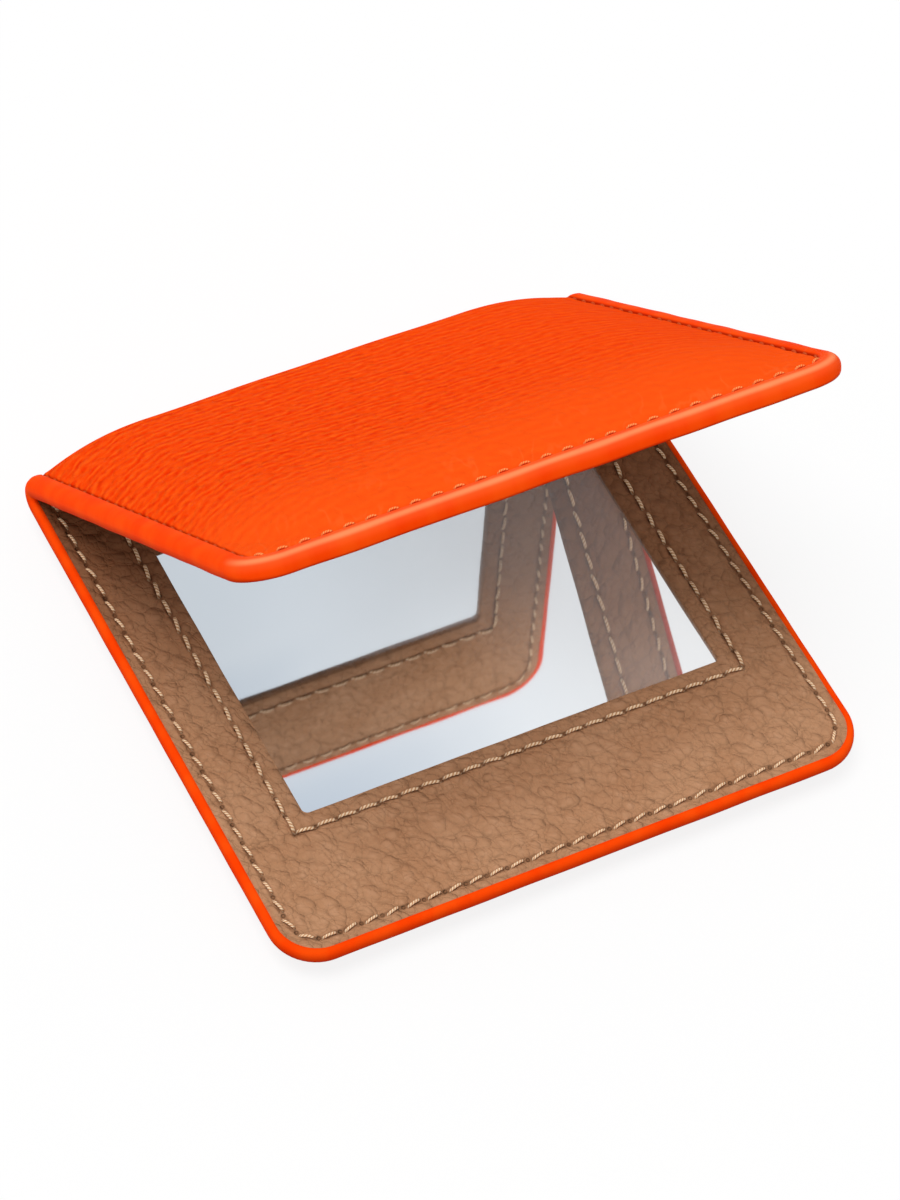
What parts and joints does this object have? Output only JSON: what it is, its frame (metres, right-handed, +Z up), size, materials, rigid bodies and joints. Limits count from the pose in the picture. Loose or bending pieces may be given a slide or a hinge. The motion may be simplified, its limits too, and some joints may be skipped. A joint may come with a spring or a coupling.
{
  "type": "compact mirror",
  "caption": "Folding leather compact mirror: padded base and lid joined by a soft spine, each with a framed mirror inside.",
  "frame": {"origin": "middle of the outline on the table, at the level of the flat underside of the base", "axes": "+X along the fold, +Y from the open front towards the spine, +Z up from the table"},
  "size_m": [0.0816, 0.0816, 0.0585],
  "materials": {
    "outer_leather": "orange pebbled leather, semi-matte",
    "lining": "tan pebbled leather, matte",
    "edge_paint": "orange edge paint, satin",
    "mirror": "silvered glass",
    "foam": "soft foam",
    "board": "grey board",
    "filler": "leather fibre board",
    "tape": "double-sided tape",
    "magnet": "nickel plated",
    "lining_thread": "waxed thread, light tan",
    "outer_thread": "waxed thread, orange"
  },
  "bodies": {
    "base": {"base_outer_leather": "outer_leather", "base_foam_pad": "foam", "base_stiffener_board": "board", "base_mirror_tape": "tape", "base_mirror": "mirror", "base_filler_frame": "filler", "base_closing_magnets": "magnet", "base_lining": "lining", "base_window_thread": "lining_thread", "base_seam_thread_inside": "lining_thread", "base_seam_thread_outside": "outer_thread", "base_edge_paint": "edge_paint", "spine_outer_leather": "outer_leather", "spine_foam_pad": "foam", "spine_reinforcement": "filler", "spine_lining": "lining", "spine_thread_inside": "lining_thread", "spine_thread_outside": "outer_thread", "spine_edge_paint": "edge_paint"},
    "lid": {"lid_outer_leather": "outer_leather", "lid_foam_pad": "foam", "lid_stiffener_board": "board", "lid_mirror_tape": "tape", "lid_mirror": "mirror", "lid_filler_frame": "filler", "lid_closing_magnets": "magnet", "lid_lining": "lining", "lid_window_thread": "lining_thread", "lid_seam_thread_inside": "lining_thread", "lid_seam_thread_outside": "outer_thread", "lid_edge_paint": "edge_paint"}
  },
  "joints": [
    {"name": "lid_hinge", "type": "hinge", "parent": "base", "child": "lid", "pos_m": [0, 0.03517, 0.0056], "axis": [-1, 0, 0], "range_deg": [-42.3, 127.7], "deforming": ["spine_outer_leather", "spine_foam_pad", "spine_reinforcement", "spine_lining", "spine_thread_inside", "spine_thread_outside", "spine_edge_paint"]}
  ]
}
